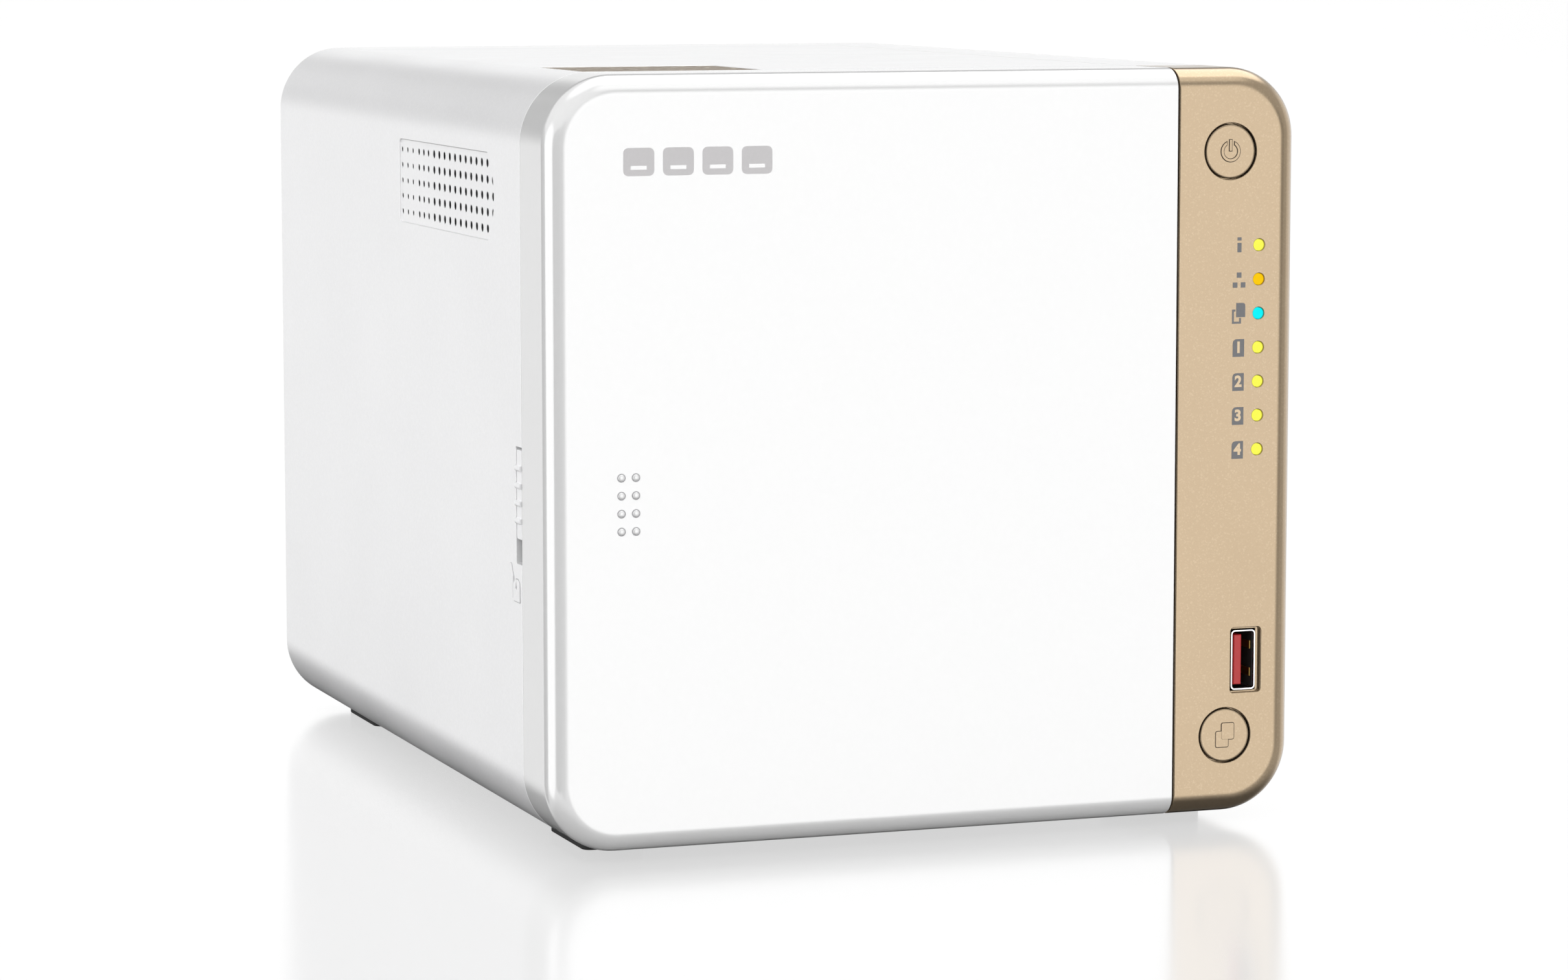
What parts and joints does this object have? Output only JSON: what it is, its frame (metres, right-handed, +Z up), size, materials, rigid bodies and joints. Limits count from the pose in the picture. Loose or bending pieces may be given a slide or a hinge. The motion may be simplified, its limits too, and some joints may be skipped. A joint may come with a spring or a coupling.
{
  "type": "network attached storage",
  "caption": "Desktop network storage box with a pull-off gloss front over upright drive trays, a gold control strip with lights and buttons, a rear fan and network sockets.",
  "frame": {"origin": "on the floor at the middle of the footprint", "axes": "+X right seen from the front, front faces -Y, +Z up"},
  "size_m": [0.1705, 0.2265, 0.165],
  "materials": {
    "shell_plastic": "fine grained white",
    "cover_plastic": "gloss white",
    "gold_paint": "satin gold paint with fine metal flake",
    "lock_plastic": "fine grained white",
    "bronze_foil": "brown gold with a waved sheen",
    "black_rubber": "matt",
    "black_plastic": "matt black",
    "handle_plastic": "satin dark grey",
    "clip_plastic": "satin grey",
    "panel_steel": "fine textured black powder coat",
    "cage_steel": "zinc plated",
    "bright_steel": "nickel plated",
    "brass_posts": "turned",
    "sink_aluminium": "anodised",
    "drive_metal": "cast and stamped",
    "board_green": "solder mask",
    "tongue_red": "moulded red",
    "lens_status": "lit yellow",
    "lens_network": "lit amber",
    "lens_usb": "lit cyan",
    "lens_drives": "lit yellow"
  },
  "bodies": {
    "chassis": {"main_shell": "shell_plastic", "side_shell": "shell_plastic", "control_fascia": "gold_paint", "bay_frame": "black_plastic", "rear_panel": "panel_steel", "top_nameplate": "bronze_foil", "rubber_feet": "black_rubber", "rear_screws": "bright_steel", "drive_cage": "cage_steel", "cage_rails": "black_plastic", "cage_screws": "bright_steel", "backplane_board": "board_green", "sata_connectors": "black_plastic", "backplane_connector": "black_plastic", "main_board": "board_green", "board_standoffs": "brass_posts", "board_screws": "bright_steel", "heatsink": "sink_aluminium", "memory_module": "board_green", "memory_socket": "black_plastic", "rtc_battery": "bright_steel", "buzzer": "black_plastic", "lan_jacks": "bright_steel", "usb_rear_ports": "bright_steel", "hdmi_ports": "bright_steel", "dc_power_jack": "black_plastic", "fan_frame": "black_plastic", "fan_guard": "bright_steel", "fan_screws": "bright_steel", "front_board": "board_green", "tact_switches": "black_plastic", "front_usb_shell": "bright_steel", "front_usb_tongue": "tongue_red", "status_lens": "lens_status", "network_lens": "lens_network", "usb_lens": "lens_usb", "drive_lenses": "lens_drives"},
    "front_cover": {"front_cover": "cover_plastic"},
    "cover_lock": {"cover_lock": "lock_plastic"},
    "power_button": {"power_button": "gold_paint"},
    "copy_button": {"copy_button": "gold_paint"},
    "reset_button": {"reset_button": "black_plastic"},
    "fan_rotor": {"fan_rotor": "black_plastic"},
    "tray_1": {"drive_tray_1": "black_plastic", "hard_drive_1": "drive_metal", "tray_clips_1": "clip_plastic"},
    "handle_1": {"tray_handle_1": "handle_plastic"},
    "tray_2": {"drive_tray_2": "black_plastic", "hard_drive_2": "drive_metal", "tray_clips_2": "clip_plastic"},
    "handle_2": {"tray_handle_2": "handle_plastic"},
    "tray_3": {"drive_tray_3": "black_plastic", "hard_drive_3": "drive_metal", "tray_clips_3": "clip_plastic"},
    "handle_3": {"tray_handle_3": "handle_plastic"},
    "tray_4": {"drive_tray_4": "black_plastic", "hard_drive_4": "drive_metal", "tray_clips_4": "clip_plastic"},
    "handle_4": {"tray_handle_4": "handle_plastic"}
  },
  "joints": [
    {"name": "cover_release", "type": "slide", "parent": "chassis", "child": "front_cover", "axis": [-0.7071, -0.7071, 0], "range_m": [0, 0.28]},
    {"name": "lock_slide", "type": "slide", "parent": "chassis", "child": "cover_lock", "axis": [0, 0, -1], "range_m": [0, 0.0052]},
    {"name": "power_press", "type": "slide", "parent": "chassis", "child": "power_button", "axis": [0, 1, 0], "range_m": [0, 0.001], "stiffness_N_per_m": 800},
    {"name": "copy_press", "type": "slide", "parent": "chassis", "child": "copy_button", "axis": [0, 1, 0], "range_m": [0, 0.001], "stiffness_N_per_m": 800},
    {"name": "reset_press", "type": "slide", "parent": "chassis", "child": "reset_button", "axis": [0, -1, 0], "range_m": [0, 0.0008], "stiffness_N_per_m": 800},
    {"name": "fan_spin", "type": "hinge", "parent": "chassis", "child": "fan_rotor", "pos_m": [-0.019, 0.0965, 0.08375], "axis": [0, 1, 0], "continuous": true},
    {"name": "tray_1_slide", "type": "slide", "parent": "chassis", "child": "tray_1", "axis": [0, -1, 0], "range_m": [0, 0.1265]},
    {"name": "handle_1_swing", "type": "hinge", "parent": "tray_1", "child": "handle_1", "pos_m": [-0.0615, -0.1005, 0.036], "axis": [1, 0, 0], "range_deg": [0, 40.5]},
    {"name": "tray_2_slide", "type": "slide", "parent": "chassis", "child": "tray_2", "axis": [0, -1, 0], "range_m": [0, 0.1265]},
    {"name": "handle_2_swing", "type": "hinge", "parent": "tray_2", "child": "handle_2", "pos_m": [-0.0295, -0.1005, 0.036], "axis": [1, 0, 0], "range_deg": [0, 40.5]},
    {"name": "tray_3_slide", "type": "slide", "parent": "chassis", "child": "tray_3", "axis": [0, -1, 0], "range_m": [0, 0.1265]},
    {"name": "handle_3_swing", "type": "hinge", "parent": "tray_3", "child": "handle_3", "pos_m": [0.0025, -0.1005, 0.036], "axis": [1, 0, 0], "range_deg": [0, 40.5]},
    {"name": "tray_4_slide", "type": "slide", "parent": "chassis", "child": "tray_4", "axis": [0, -1, 0], "range_m": [0, 0.1265]},
    {"name": "handle_4_swing", "type": "hinge", "parent": "tray_4", "child": "handle_4", "pos_m": [0.0345, -0.1005, 0.036], "axis": [1, 0, 0], "range_deg": [0, 40.5]}
  ],
  "couplings": [
    {"joint": "tray_1_slide", "follows": "cover_release", "ratio": 0.45},
    {"joint": "handle_1_swing", "follows": "cover_release", "rad_per_m": 2.49},
    {"joint": "tray_2_slide", "follows": "cover_release", "ratio": 0.45},
    {"joint": "handle_2_swing", "follows": "cover_release", "rad_per_m": 2.49},
    {"joint": "tray_3_slide", "follows": "cover_release", "ratio": 0.45},
    {"joint": "handle_3_swing", "follows": "cover_release", "rad_per_m": 2.49},
    {"joint": "tray_4_slide", "follows": "cover_release", "ratio": 0.45},
    {"joint": "handle_4_swing", "follows": "cover_release", "rad_per_m": 2.49}
  ]
}
